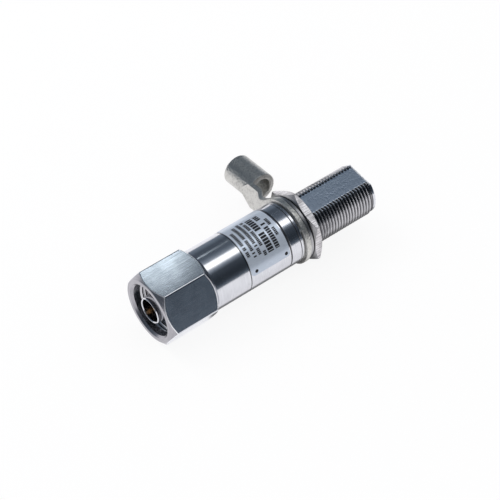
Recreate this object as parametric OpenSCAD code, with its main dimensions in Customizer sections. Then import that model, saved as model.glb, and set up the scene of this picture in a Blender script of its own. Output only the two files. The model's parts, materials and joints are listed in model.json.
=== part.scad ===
// Coaxial lightning arrestor: plug end with a hex coupling nut, turned body, earth lug and threaded jack.
// X runs along the connector, from the front face of the coupling nut to the jack. +Z is up. Millimetres.

/* [Connector line] */
// Major diameter of the coupling thread, shared by the nut's mouth and the jack barrel
thread_d = 15.875; // [14:0.005:18]
// Bore of the coaxial line
line_d = 7; // [6:0.05:8]
// Diameter of the centre conductor
core_d = 3.04; // [2.4:0.02:3.6]
// Outer diameter of the plug's contact sleeve
sleeve_d = 8.06; // [7.6:0.02:9]
// Diameter of the plug's centre pin
pin_d = 1.65; // [1.4:0.05:2]

/* [Coupling nut] */
// Width across the flats of the coupling nut
nut_across = 20.3; // [19.8:0.05:22]
// Length of the coupling nut
nut_length = 16.8; // [15.5:0.1:20]
// Depth of the end chamfers, measured at a corner
nut_chamfer = 1.35; // [1:0.05:2.4]
// Width of the flat ring around the mouth
nut_land = 1.85; // [1.2:0.05:2]
// Width of the bevel that leads into the mouth
nut_lead = 0.7; // [0.3:0.05:0.9]
// Depth to which the corners are turned down
nut_corner = 0.3; // [0.1:0.05:0.6]
// Length of the rear lip that runs on the neck
lip_length = 4.3; // [3.4:0.1:5]
// Width of the spring ring that retains the nut
ring_width = 1; // [0.8:0.05:1.4]

/* [Plug end] */
// Depth of the contact sleeve's tip inside the nut's mouth
sleeve_recess = 0.3; // [0.1:0.1:1]
// Distance from the sleeve's tip to the shell's front face
sleeve_reach = 10.7; // [9.5:0.1:11]
// Length of the sleeve that sits inside the shell
sleeve_grip = 4; // [3:0.1:5]
// Distance from the sleeve's tip to the pin's tip
pin_recess = 1.5; // [0.5:0.1:3]
// Length of the slim part of the pin
pin_length = 5.2; // [4:0.1:6]
// Thickness of the rubber gasket
gasket_t = 1.6; // [1:0.1:2]
// Diameter of the neck that carries the nut
neck_d = 13.8; // [13:0.1:14.2]
// Length of an insulator bead
bead_length = 3.6; // [2.5:0.1:5]

/* [Body] */
// Diameter of the body
body_d = 19.05; // [18.6:0.05:22]
// Length of the front section behind the nut
front_length = 11.9; // [9:0.1:16]
// Length of the middle section under the label
housing_length = 14.6; // [14:0.1:20]
// Wall of the middle section
housing_wall = 1.875; // [1.4:0.025:2.2]
// Length of the rear collar
collar_length = 4.9; // [3:0.1:8]
// Width of the rim that a fine groove marks off on the collar
collar_rim = 1.2; // [0.8:0.1:2]
// Length of the threaded jack barrel
barrel_length = 28.2; // [24:0.1:36]
// Distance from the axis to the flat along the barrel
flat_height = 6.6; // [6.2:0.05:7.6]
// Bevel at the free end of that flat
flat_bevel = 0.7; // [0.3:0.1:1]
// Direction of that flat, in degrees from +Y towards +Z
flat_turn = 95; // [60:1:120]
// Width of the bright edge break on each section
edge_break = 0.3; // [0.1:0.05:0.5]

/* [Jack end] */
// Bore of the jack's mouth
mouth_d = 8.1; // [8:0.02:9]
// Depth of the jack's mouth
mouth_depth = 9.1; // [8:0.1:10]
// Distance from the jack's end to the tip of its contact
contact_recess = 5.2; // [3:0.1:6]
// Depth of the socket in the contact
socket_depth = 6.5; // [5:0.1:8]
// Width of the slots in the contact
slot_width = 0.35; // [0.2:0.05:0.5]

/* [Label] */
// Thickness of the foil
label_t = 0.08; // [0.05:0.01:0.2]
// Distance from the foil to the ends of the middle section
label_margin = 0.25; // [0.1:0.05:1]
// Where the foil starts, in degrees from +Y towards +Z
label_from = 41; // [20:1:60]
// Angle that the foil covers
label_sweep = 127; // [90:1:180]
// Corner radius of the foil
label_corner = 1.2; // [0.5:0.1:2]

/* [Earth lug] */
// Diameter of the lug's ring
lug_ring_d = 21; // [20:0.1:24]
// Thickness of the lug's sheet
lug_t = 1.6; // [1:0.1:2]
// Width of the tongue
tongue_w = 9.4; // [8:0.1:10]
// Fillet between the ring and the tongue
tongue_fillet = 9; // [6:0.5:12]
// Set of the tongue towards the jack
tongue_set = 1.9; // [0.5:0.1:2.4]
// Outer diameter of the wire barrel
wire_d = 9.6; // [8.8:0.1:10.4]
// Distance from the connector's axis to the near end of the wire barrel
wire_from = 19; // [17:0.1:21]
// Length of the wire barrel
wire_length = 11.8; // [10:0.1:18]
// Direction of the lug, in degrees from +Y towards +Z
lug_turn = -5; // [-20:1:20]

/* [Lock washer and nut] */
// Overall thickness of the lock washer
washer_t = 1.4; // [1.2:0.05:2]
// Thickness of the lock washer's sheet
washer_sheet = 0.8; // [0.6:0.05:1]
// Outer diameter of the lock washer
washer_d = 20; // [19.2:0.1:21]
// Number of teeth on the lock washer
washer_teeth = 12; // [8:1:14]
// Width across the flats of the thin nut
thin_nut_across = 20.64; // [20.2:0.02:22]
// Thickness of the thin nut
thin_nut_t = 2.6; // [2:0.1:4]
// Height left flat at a corner of the thin nut
thin_nut_land = 0.5; // [0.2:0.1:1]
// Direction of one corner of the thin nut, in degrees from +Y towards +Z
thin_nut_turn = 25.7; // [0:0.1:60]

/* [Surge path] */
// Diameter of the capacitor plates
plate_d = 8.8; // [6:0.1:10]
// Thickness of a capacitor plate
plate_t = 1; // [0.6:0.1:1.4]
// Thickness of the insulation between the plates
dielectric_t = 0.4; // [0.2:0.05:0.8]
// Thickness of the spiral's sheet
spiral_t = 1.4; // [1:0.1:1.8]
// Turns of the spiral between its hub and its rim
spiral_turns = 1.6; // [1.2:0.1:2]
// Width of the spiral's arm
spiral_arm = 0.9; // [0.6:0.05:1.1]
// Width of the spiral's hub and rim
spiral_ring = 0.9; // [0.6:0.05:1.2]
// Length of the shells' spigots inside the middle section
spigot_length = 4; // [3.6:0.1:4.4]
// Section diameter of the O-ring seals
seal_d = 1.1; // [0.9:0.05:1.3]

/* [Fits] */
// Radial clearance of a piece that turns on another
run_gap = 0.05; // [0.02:0.01:0.1]
// Radial clearance of a piece that is seated in another
seat_gap = 0.02; // [0.01:0.01:0.05]
// Axial gap between the coupling nut and the body
nut_gap = 0.2; // [0.15:0.05:0.6]
// Radial clearance of the lug and washer on the barrel
loose_gap = 0.2; // [0.1:0.05:0.3]

/* [Hidden] */

$fn = 96;
// Overlap of a cutting tool past the face that it opens
past = 1;

// Stations along X, from the plug to the jack
sleeve_tip = sleeve_recess;
shell_face = sleeve_tip + sleeve_reach;
sleeve_end = shell_face + sleeve_grip;
bead_end = sleeve_end + bead_length;
body_front = nut_length + nut_gap;
housing_front = body_front + front_length;
spiral_front = housing_front + spigot_length;
spiral_rear = spiral_front + spiral_t;
housing_rear = housing_front + housing_length;
spacer_rear = housing_rear - spigot_length;
seat_face = housing_rear + collar_length;
washer_front = seat_face + lug_t;
thin_nut_front = washer_front + washer_t;
jack_end = seat_face + barrel_length;
mouth_floor = jack_end - mouth_depth;
jack_bead_front = mouth_floor - 1.5 * bead_length;
cavity_middle = (spiral_rear + spacer_rear) / 2;

// Radii
thread_r = thread_d / 2;
line_r = line_d / 2;
core_r = core_d / 2;
sleeve_r = sleeve_d / 2;
neck_r = neck_d / 2;
body_r = body_d / 2;
bore_r = body_r - housing_wall;
spigot_r = bore_r - seat_gap;
counterbore_r = sleeve_r + seat_gap;

// Retaining ring and its two grooves
ring_middle = nut_length - lip_length / 2;
ring_depth = 0.6;
ring_in = neck_r - ring_depth;
ring_out = neck_r + ring_depth;
ring_opening = 40;

// The tongue's outline: its fillets touch the ring and the straight sides
tongue_side = tongue_w / 2;
lug_ring_r = lug_ring_d / 2;
fillet_t = tongue_side + tongue_fillet;
fillet_s = sqrt(pow(lug_ring_r + tongue_fillet, 2) - fillet_t * fillet_t);
fillet_touch = lug_ring_r / (lug_ring_r + tongue_fillet);
// The fillets run this far into the ring and the tongue, so that the outlines cross and leave no sliver
fillet_bite = 0.04;
wire_r = wire_d / 2;
// The wire barrel stands this far off the sheet's faces, so that they cross and don't meet in a line
wire_lift = 0.05;
wire_axis = tongue_set + wire_r + wire_lift;
bend_end = fillet_s + 1;
// Under the wire barrel, the sheet narrows to this half-width over this length
tongue_end = tongue_side / 4;
tongue_fade = 3.5;

// Steel and plating colours
nickel = "#c9cdd2";
tin = "#b9bab4";
gold = "#c9a250";
foil = "#b9c6d6";
ptfe = "#eeeeea";
seal_black = "#2b2b2d";

// Turns a shape drawn about Z so that it lies about X: local x is +Y, local y is +Z, local z is +X
module along_x(at = 0, turn = 0) {
    translate([at, 0, 0]) rotate([90, 0, 90]) rotate([0, 0, turn]) children();
}

// A turned solid from an outline of [radius, station] points
module turned(outline) {
    along_x() rotate_extrude() polygon(outline);
}

// A tube along X
module tube(from, to, r_out, r_in) {
    turned([[r_in, from], [r_out, from], [r_out, to], [r_in, to]]);
}

// A round cutter along X
module drill(from, to, r) {
    along_x(from) cylinder(h = to - from, r = r);
}

// A hexagonal nut blank from x = 0. Its corners are turned down, and each end is turned to a cone that
// leaves face_r flat.
module hex_blank(across, thickness, chamfer, face_r, turn, turned_down = 0) {
    corner_r = across / sqrt(3);
    outer_r = corner_r - turned_down;
    intersection() {
        along_x(0, turn) cylinder(h = thickness, r = corner_r, $fn = 6);
        turned([[0, 0], [face_r, 0], [outer_r, chamfer], [outer_r, thickness - chamfer],
                [face_r, thickness], [0, thickness]]);
    }
}

// Plug end

module coupling_nut() {
    mouth_r = thread_r + run_gap;
    rim_r = mouth_r + nut_lead;
    lip_front = nut_length - lip_length;
    groove = ring_width / 2 + run_gap;
    color(nickel) difference() {
        hex_blank(nut_across, nut_length, nut_chamfer, mouth_r + nut_land, 0, nut_corner);
        turned([[0, -past], [rim_r, -past], [rim_r, 0], [mouth_r, nut_lead],
                [mouth_r, lip_front], [neck_r + run_gap, lip_front],
                [neck_r + run_gap, ring_middle - groove], [ring_out + run_gap, ring_middle - groove],
                [ring_out + run_gap, ring_middle + groove], [neck_r + run_gap, ring_middle + groove],
                [neck_r + run_gap, nut_length + past], [0, nut_length + past]]);
    }
}

module retaining_ring() {
    color(nickel) along_x(ring_middle - ring_width / 2, 90 + ring_opening / 2)
        rotate_extrude(angle = 360 - ring_opening)
            translate([ring_in, 0]) square([ring_out - ring_in, ring_width]);
}

module coupling_gasket() {
    rubber_rim = 0.6;
    color(seal_black)
        tube(shell_face - gasket_t, shell_face, neck_r - rubber_rim, sleeve_r + seat_gap);
}

module outer_contact() {
    tip_break = 0.2;
    color(nickel) turned([[line_r + tip_break, sleeve_tip], [sleeve_r - tip_break, sleeve_tip],
                          [sleeve_r, sleeve_tip + tip_break], [sleeve_r, sleeve_end],
                          [line_r, sleeve_end], [line_r, sleeve_tip + tip_break]]);
}

module male_pin() {
    pin_r = pin_d / 2;
    pin_tip = sleeve_tip + pin_recess;
    taper = pin_d;
    tip_r = pin_r * 0.55;
    shoulder = pin_tip + pin_length;
    plate_rear = cavity_middle - dielectric_t / 2;
    plate_front = plate_rear - plate_t;
    color(gold) turned([[0, pin_tip], [tip_r, pin_tip], [pin_r, pin_tip + taper], [pin_r, shoulder],
                        [core_r, shoulder + core_r - pin_r], [core_r, plate_front],
                        [plate_d / 2, plate_front], [plate_d / 2, plate_rear], [0, plate_rear]]);
}

module front_insulator() {
    color(ptfe) tube(sleeve_end, bead_end, sleeve_r, core_r + seat_gap);
}

module male_shell() {
    groove = ring_width / 2 + run_gap;
    groove_r = ring_in - run_gap;
    color(nickel) difference() {
        turned([[0, shell_face], [neck_r - edge_break, shell_face], [neck_r, shell_face + edge_break],
                [neck_r, ring_middle - groove], [groove_r, ring_middle - groove],
                [groove_r, ring_middle + groove], [neck_r, ring_middle + groove],
                [neck_r, body_front], [body_r - edge_break, body_front],
                [body_r, body_front + edge_break], [body_r, housing_front], [spigot_r, housing_front],
                [spigot_r, spiral_front], [0, spiral_front]]);
        drill(shell_face - past, bead_end, counterbore_r);
        drill(bead_end - past, spiral_front + past, line_r);
        seal_groove(housing_front + spigot_length / 2);
    }
}

// Body

// Room for an O-ring in a spigot
module seal_groove(middle) {
    half = seal_d * 0.6;
    tube(middle - half, middle + half, bore_r + past, bore_r - seal_d);
}

module o_ring(middle) {
    color(seal_black) along_x(middle) rotate_extrude()
        translate([bore_r - seal_d / 2, 0]) circle(d = seal_d - seat_gap, $fn = 32);
}

module front_seal() {
    o_ring(housing_front + spigot_length / 2);
}

module rear_seal() {
    o_ring(housing_rear - spigot_length / 2);
}

module housing() {
    color(nickel) difference() {
        turned([[0, housing_front], [body_r - edge_break / 2, housing_front],
                [body_r, housing_front + edge_break / 2], [body_r, housing_rear - edge_break],
                [body_r - edge_break, housing_rear], [0, housing_rear]]);
        drill(housing_front - past, housing_rear + past, bore_r);
    }
}

// A tool that rounds off the foil's corner at the origin of the quadrant +x, +y.
// The round crosses both edges at a slight angle, so that no sliver is left where they meet.
module corner_tool(r) {
    inset = 0.98 * r;
    difference() {
        translate([-past, -past]) square(inset + past);
        translate([inset, inset]) circle(r);
    }
}

module label() {
    front = housing_front + label_margin;
    length = housing_length - 2 * label_margin - edge_break;
    color(foil) difference() {
        along_x(front, label_from) rotate_extrude(angle = label_sweep)
            translate([body_r, 0]) square([label_t, length]);
        for (end = [0, 1], side = [0, 1])
            translate([front + end * length, 0, 0])
                rotate([label_from + side * label_sweep, 0, 0])
                    mirror([end, 0, 0]) mirror([0, 0, side])
                        translate([0, body_r - past, 0]) rotate([90, 0, 0]) mirror([0, 0, 1])
                            linear_extrude(2 * past) corner_tool(label_corner);
    }
}

module rear_shell() {
    end_break = 0.35;
    groove = 0.15;
    groove_at = seat_face - collar_rim;
    bead_stop = line_r - 0.3;
    color(nickel) difference() {
        turned([[0, spacer_rear], [spigot_r, spacer_rear], [spigot_r, housing_rear],
                [body_r - edge_break, housing_rear], [body_r, housing_rear + edge_break],
                [body_r, groove_at - groove], [body_r - groove, groove_at], [body_r, groove_at + groove],
                [body_r, seat_face - edge_break], [body_r - edge_break, seat_face],
                [thread_r, seat_face], [thread_r, jack_end - end_break],
                [thread_r - end_break, jack_end], [0, jack_end]]);
        drill(mouth_floor, jack_end + past, mouth_d / 2);
        drill(jack_bead_front, mouth_floor + past, line_r);
        drill(spacer_rear - past, jack_bead_front + past, bead_stop);
        seal_groove(housing_rear - spigot_length / 2);
        along_x(seat_face, flat_turn) rotate([90, 0, 0]) translate([0, 0, -thread_r])
            linear_extrude(thread_d)
                polygon([[flat_height, 0], [flat_height, barrel_length - flat_bevel],
                         [flat_height - flat_bevel - past, barrel_length + past],
                         [thread_d, barrel_length + past], [thread_d, 0]]);
    }
}

module jack_contact() {
    tip = jack_end - contact_recess;
    plate_front = cavity_middle + dielectric_t / 2;
    plate_rear = plate_front + plate_t;
    tip_break = 0.2;
    slot_length = socket_depth - core_r;
    color(gold) difference() {
        turned([[0, plate_front], [plate_d / 2, plate_front], [plate_d / 2, plate_rear],
                [core_r, plate_rear], [core_r, tip - tip_break], [core_r - tip_break, tip], [0, tip]]);
        drill(tip - socket_depth, tip + past, pin_d / 2);
        for (turn = [0, 90])
            along_x(tip - slot_length, turn)
                translate([-core_d, -slot_width / 2, 0]) cube([2 * core_d, slot_width, slot_length + past]);
    }
}

module rear_insulator() {
    color(ptfe) tube(jack_bead_front, jack_bead_front + bead_length, line_r - seat_gap, core_r + seat_gap);
}

// Surge path

// A point of the spiral's arm: side is -1 for its inner edge and 1 for its outer edge
function spiral_point(part, side, r_from, r_to) =
    let (r = r_from + (r_to - r_from) * part + side * spiral_arm / 2)
    r * [cos(360 * spiral_turns * part), sin(360 * spiral_turns * part)];

module spiral_inductor() {
    hub_in = core_r + seat_gap;
    hub_out = hub_in + spiral_ring;
    rim_out = spigot_r;
    rim_in = rim_out - spiral_ring;
    // The arm starts inside the hub and ends inside the rim
    arm_from = hub_out - spiral_arm / 2;
    arm_to = rim_in + spiral_arm / 2;
    steps = 72;
    color("#b8894f") {
        along_x(spiral_front) difference() {
            union() {
                cylinder(h = spiral_t, r = hub_out);
                linear_extrude(spiral_t) polygon(concat(
                    [for (i = [0:steps]) spiral_point(i / steps, -1, arm_from, arm_to)],
                    [for (i = [steps:-1:0]) spiral_point(i / steps, 1, arm_from, arm_to)]));
                difference() {
                    cylinder(h = spiral_t, r = rim_out);
                    translate([0, 0, -past]) cylinder(h = spiral_t + 2 * past, r = rim_in);
                }
            }
            translate([0, 0, -past]) cylinder(h = spiral_t + 2 * past, r = hub_in);
        }
    }
}

module spacer_sleeve() {
    color(nickel) tube(spiral_rear, spacer_rear, spigot_r, spigot_r - spiral_ring);
}

module dielectric_disc() {
    overhang = 0.6;
    color(ptfe) drill(cavity_middle - dielectric_t / 2, cavity_middle + dielectric_t / 2,
                      plate_d / 2 + overhang);
}

// Earth hardware

// Height of the tongue's front face at a distance s from the axis: a smooth set between two stations
function tongue_rise(s, from, to) =
    let (u = min(1, max(0, (s - from) / (to - from)))) tongue_set * u * u * (3 - 2 * u);

// Plan of the lug's sheet, with the connector's axis at the origin and the tongue along +x
module lug_plan(reach) {
    circle(lug_ring_r);
    difference() {
        translate([0, -fillet_t * fillet_touch]) square([fillet_s, 2 * fillet_t * fillet_touch]);
        for (side = [-1, 1]) translate([fillet_s, side * fillet_t]) circle(tongue_fillet + fillet_bite);
    }
    polygon([[fillet_s - past, -tongue_side], [wire_from, -tongue_side], [reach, -tongue_end],
             [reach, tongue_end], [wire_from, tongue_side], [fillet_s - past, tongue_side]]);
}

// The sheet's side view: flat at the ring, set towards the jack along the tongue
module lug_side(reach) {
    bend_from = lug_ring_r + lug_t / 3;
    steps = 12;
    bend = [for (i = [0:steps]) bend_from + (bend_end - bend_from) * i / steps];
    stations = concat([-lug_ring_r], bend, [reach]);
    front = [for (s = stations) [s, tongue_rise(s, bend_from, bend_end)]];
    rear = [for (i = [len(front) - 1:-1:0]) front[i] + [0, lug_t]];
    polygon(concat(front, rear));
}

// A round bar along the wire barrel's axis
module wire_bar(from, to, r) {
    translate([from, 0, wire_axis]) rotate([0, 90, 0]) cylinder(h = to - from, r = r);
}

// Draws a side view of the lug as a slab that is wider than the lug
module lug_slab() {
    rotate([90, 0, 0]) translate([0, 0, -lug_ring_d]) linear_extrude(2 * lug_ring_d) children();
}

module ground_lug() {
    reach = wire_from + tongue_fade;
    wire_end = wire_from + wire_length;
    color(tin) along_x(seat_face, lug_turn) difference() {
        union() {
            intersection() {
                linear_extrude(tongue_set + lug_t) lug_plan(reach);
                lug_slab() lug_side(reach);
            }
            wire_bar(wire_from, wire_end, wire_r);
        }
        wire_bar(wire_from - past, wire_end + past, wire_r - lug_t);
        translate([0, 0, -past]) cylinder(h = lug_t + 2 * past, r = thread_r + loose_gap);
    }
}

module lock_washer() {
    washer_r = washer_d / 2;
    tooth_in = thread_r + loose_gap;
    ring_in_r = washer_r - 1.1;
    ring_front = (washer_t - washer_sheet) / 2;
    tooth_w = 2 * PI * tooth_in / washer_teeth * 0.6;
    // The twist that makes a tooth span the overall thickness
    twist = 2 * atan((tooth_w - sqrt(tooth_w * tooth_w + washer_sheet * washer_sheet - washer_t * washer_t))
                     / (washer_sheet + washer_t));
    color("#8d9095") along_x(washer_front) {
        difference() {
            translate([0, 0, ring_front]) cylinder(h = washer_sheet, r = washer_r);
            translate([0, 0, -past]) cylinder(h = washer_t + 2 * past, r = ring_in_r);
        }
        difference() {
            for (i = [0:washer_teeth - 1])
                rotate([0, 0, i * 360 / washer_teeth]) translate([0, 0, washer_t / 2]) rotate([twist, 0, 0])
                    translate([tooth_in - past, -tooth_w / 2, -washer_sheet / 2])
                        cube([ring_in_r - tooth_in + past + 0.4, tooth_w, washer_sheet]);
            translate([0, 0, -past]) cylinder(h = washer_t + 2 * past, r = tooth_in);
        }
    }
}

module bulkhead_nut() {
    slope = tan(30);
    chamfer = (thin_nut_t - thin_nut_land) / 2;
    face_r = thin_nut_across / sqrt(3) - chamfer / slope;
    color(nickel) translate([thin_nut_front, 0, 0]) difference() {
        hex_blank(thin_nut_across, thin_nut_t, chamfer, face_r, thin_nut_turn);
        drill(-past, thin_nut_t + past, thread_r + run_gap);
    }
}

coupling_nut();
retaining_ring();
coupling_gasket();
outer_contact();
male_pin();
front_insulator();
male_shell();
front_seal();
spiral_inductor();
spacer_sleeve();
dielectric_disc();
housing();
label();
jack_contact();
rear_insulator();
rear_seal();
rear_shell();
ground_lug();
lock_washer();
bulkhead_nut();
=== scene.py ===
"""Dresses a coaxial lightning arrestor: plated metal, threads, a printed foil and a small product studio.

Sizes are in millimetres and angles in degrees unless a name says otherwise; meshes are made in metres.
Angles around the connector run from +Y towards +Z.
"""

from __future__ import annotations

import json
import logging
import math
from collections.abc import Callable, Mapping, Sequence
from dataclasses import dataclass, replace
from enum import Enum
from functools import reduce
from typing import Any

import bmesh
import bpy
import numpy as np
from bpy.types import ID, Material, Mesh, Node, NodeSocket, NodeTree, Object
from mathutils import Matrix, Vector

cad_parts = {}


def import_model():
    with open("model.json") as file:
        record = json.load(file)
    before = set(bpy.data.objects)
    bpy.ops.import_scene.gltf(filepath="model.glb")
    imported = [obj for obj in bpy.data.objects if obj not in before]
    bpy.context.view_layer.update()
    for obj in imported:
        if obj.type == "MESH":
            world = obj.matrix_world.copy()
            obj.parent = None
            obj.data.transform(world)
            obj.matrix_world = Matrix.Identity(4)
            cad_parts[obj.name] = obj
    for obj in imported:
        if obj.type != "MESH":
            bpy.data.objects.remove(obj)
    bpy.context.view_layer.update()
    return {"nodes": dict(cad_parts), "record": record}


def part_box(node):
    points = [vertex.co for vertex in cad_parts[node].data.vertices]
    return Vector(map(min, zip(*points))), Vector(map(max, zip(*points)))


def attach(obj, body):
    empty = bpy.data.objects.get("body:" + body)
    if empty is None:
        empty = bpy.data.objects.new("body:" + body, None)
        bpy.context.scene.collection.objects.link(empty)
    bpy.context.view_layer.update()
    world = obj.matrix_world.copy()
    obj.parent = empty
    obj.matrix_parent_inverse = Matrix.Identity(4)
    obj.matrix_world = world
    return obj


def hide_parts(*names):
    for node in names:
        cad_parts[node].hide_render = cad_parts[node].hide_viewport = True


LOG = logging.getLogger("arrestor")

MM = 0.001
INCH = 25.4
PITCH = INCH / 24

Colour = tuple[float, float, float, float]


def rgb(red: float, green: float, blue: float) -> Colour:
    """A linear colour with full alpha."""
    return (red, green, blue, 1.0)


BLACK = rgb(0, 0, 0)
WHITE = rgb(1, 1, 1)
# Near black, painted as shade into thread valleys and along seams
PAINTED_SHADE = rgb(0.09, 0.09, 0.095)


def math_method(operation: str, reflected: bool = False) -> Callable[[Signal, Signal | float], Signal]:
    """A method of Signal that adds a Math node.

    Args:
        operation: The Math node's operation.
        reflected: True where the other operand comes first.

    Returns:
        The method.
    """

    def method(self: Signal, other: Signal | float) -> Signal:
        """The result of the Math node."""
        return self.graph.math(operation, *((other, self) if reflected else (self, other)))

    return method


class Signal:
    """A value in a shader that takes part in Python arithmetic; comparisons give masks of 0 and 1."""

    def __init__(self, graph: Graph, socket: NodeSocket) -> None:
        """Wraps an output socket of the graph."""
        self.graph = graph
        self.socket = socket

    __add__ = __radd__ = math_method("ADD")
    __sub__ = math_method("SUBTRACT")
    __rsub__ = math_method("SUBTRACT", reflected=True)
    __mul__ = __rmul__ = math_method("MULTIPLY")
    __truediv__ = math_method("DIVIDE")
    __rtruediv__ = math_method("DIVIDE", reflected=True)
    __lt__ = math_method("LESS_THAN")
    __gt__ = math_method("GREATER_THAN")
    either = math_method("MAXIMUM")

    def __abs__(self) -> Signal:
        """Size without sign."""
        return self.graph.math("ABSOLUTE", self)

    def floor(self) -> Signal:
        """The whole number below."""
        return self.graph.math("FLOOR", self)

    def fraction(self) -> Signal:
        """The part after the point."""
        return self.graph.math("FRACT", self)

    def mixed(self, other: Signal, share: float = 0.5) -> Signal:
        """A weighted mean with another value, which has the share."""
        return self * (1 - share) + other * share

    def eased(self, low: float, high: float) -> Signal:
        """A smooth step from 0 at low to 1 at high."""
        sockets = {"Value": self, "From Min": low, "From Max": high}
        return self.graph.value("ShaderNodeMapRange", {"interpolation_type": "SMOOTHSTEP"}, sockets)


class Graph:
    """A node tree under construction."""

    # Numbers of a Mix node's two colour sockets and of its colour output
    MIX_LOW, MIX_HIGH, MIX_RESULT = 6, 7, 2

    def __init__(self, tree: NodeTree) -> None:
        """Starts from an empty tree."""
        self.tree = tree
        tree.nodes.clear()

    @classmethod
    def of_material(cls, name: str) -> tuple[Graph, Material]:
        """A new material and the graph of its nodes.

        Args:
            name: The material's name.

        Returns:
            The graph and the material.
        """
        material = bpy.data.materials.new(name)
        material.use_nodes = True
        return cls(material.node_tree), material

    def node(
        self,
        kind: str,
        settings: Mapping[str, Any] | None = None,
        sockets: Mapping[str | int, Any] | None = None,
    ) -> Node:
        """Adds a node.

        Args:
            kind: The node's type.
            settings: Its own settings, which are set first; "stops" are a ramp's (position, colour) pairs.
            sockets: Values or links of its input sockets, by name or number.

        Returns:
            The node.
        """
        made = self.tree.nodes.new(kind)
        for name, value in (settings or {}).items():
            if name == "stops":
                ramp = made.color_ramp
                while len(ramp.elements) < len(value):
                    ramp.elements.new(1.0)
                for element, (position, colour) in zip(ramp.elements, value):
                    element.position = position
                    element.color = colour
            else:
                setattr(made, name, value)
        for key, value in (sockets or {}).items():
            source = value.socket if isinstance(value, Signal) else value
            if isinstance(source, NodeSocket):
                self.tree.links.new(source, made.inputs[key])
            else:
                made.inputs[key].default_value = source
        return made

    def value(self, kind: str, settings: Mapping[str, Any], sockets: Mapping[str | int, Any]) -> Signal:
        """Adds a node, as the node method does, and gives its first output as a value."""
        return Signal(self, self.node(kind, settings, sockets).outputs[0])

    def math(self, operation: str, *operands: Signal | float) -> Signal:
        """The result of a Math node on values and numbers, in the order of its sockets."""
        return self.value("ShaderNodeMath", {"operation": operation}, dict(enumerate(operands)))

    def blend(self, factor: Signal, low: Any, high: Any) -> NodeSocket:
        """A colour between two colours or sockets: the low one at 0 and the high one at 1."""
        sockets = {"Factor": factor, self.MIX_LOW: low, self.MIX_HIGH: high}
        return self.node("ShaderNodeMix", {"data_type": "RGBA"}, sockets).outputs[self.MIX_RESULT]

    def vector(self, x: Signal | float, y: Signal | float, z: Signal | float) -> NodeSocket:
        """Three values as a vector."""
        return self.node("ShaderNodeCombineXYZ", None, {0: x, 1: y, 2: z}).outputs[0]

    def noise(self, place: NodeSocket, per_mm: float, octaves: float) -> Signal:
        """Cloudy noise from 0 to 1, with its clouds in a millimetre and its octaves of finer noise."""
        return self.value("ShaderNodeTexNoise", {}, {"Vector": place, "Scale": per_mm, "Detail": octaves})

    def cells(self, place: NodeSocket, per_mm: float) -> Signal:
        """Distance from the middle of irregular cells, about 0 to 1, with its cells in a millimetre."""
        return self.value("ShaderNodeTexVoronoi", {}, {"Vector": place, "Scale": per_mm})

    def chance(self, seed: Signal) -> Signal:
        """A fixed random value from 0 to 1 for each seed."""
        return self.value("ShaderNodeTexWhiteNoise", {"noise_dimensions": "1D"}, {"W": seed})

    def rays(self, *kinds: str) -> Signal:
        """1 for light paths of any of the kinds, such as Camera or Glossy."""
        paths = self.node("ShaderNodeLightPath").outputs
        return reduce(Signal.either, [Signal(self, paths[f"Is {kind} Ray"]) for kind in kinds])

    def bump(self, height: Signal, depth: float) -> NodeSocket:
        """A normal from a height of 0 to 1 that spans the depth."""
        sockets = {"Strength": 1.0, "Distance": depth * MM, "Height": height}
        return self.node("ShaderNodeBump", None, sockets).outputs[0]

    def choice(self, factor: Any, low: Node, high: Node) -> Node:
        """A mix of two shaders: the low one at 0 and the high one at 1."""
        return self.node("ShaderNodeMixShader", None, {0: factor, 1: low.outputs[0], 2: high.outputs[0]})

    def surface(self, sockets: Mapping[str, Any]) -> None:
        """Ends the graph with a principled surface."""
        shader = self.node("ShaderNodeBsdfPrincipled", None, sockets)
        self.node("ShaderNodeOutputMaterial", None, {"Surface": shader.outputs[0]})


class Place:
    """Where a shaded point lies on the part, in millimetres."""

    def __init__(self, graph: Graph) -> None:
        """Adds the nodes that find the point.

        Args:
            graph: The graph that they join.
        """
        source = graph.node("ShaderNodeTexCoord").outputs["Object"]
        scaled = graph.node("ShaderNodeVectorMath", {"operation": "SCALE"}, {0: source, "Scale": 1 / MM})
        self.graph = graph
        self.point = scaled.outputs[0]
        split = graph.node("ShaderNodeSeparateXYZ", None, {0: self.point})
        self.x, self.y, self.z = (Signal(graph, output) for output in split.outputs)

    def angle(self) -> Signal:
        """The angle around the connector, in radians."""
        return self.graph.math("ARCTAN2", self.z, self.y)

    def radius(self) -> Signal:
        """The distance from the connector's axis."""
        return self.graph.math("SQRT", self.y * self.y + self.z * self.z)


class Grain(Enum):
    """The way that the marks of a metal's making run."""

    TURNED = "rings around the axis"
    DRAWN = "lines along the axis"
    TUMBLED = "dents in every direction"


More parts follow.
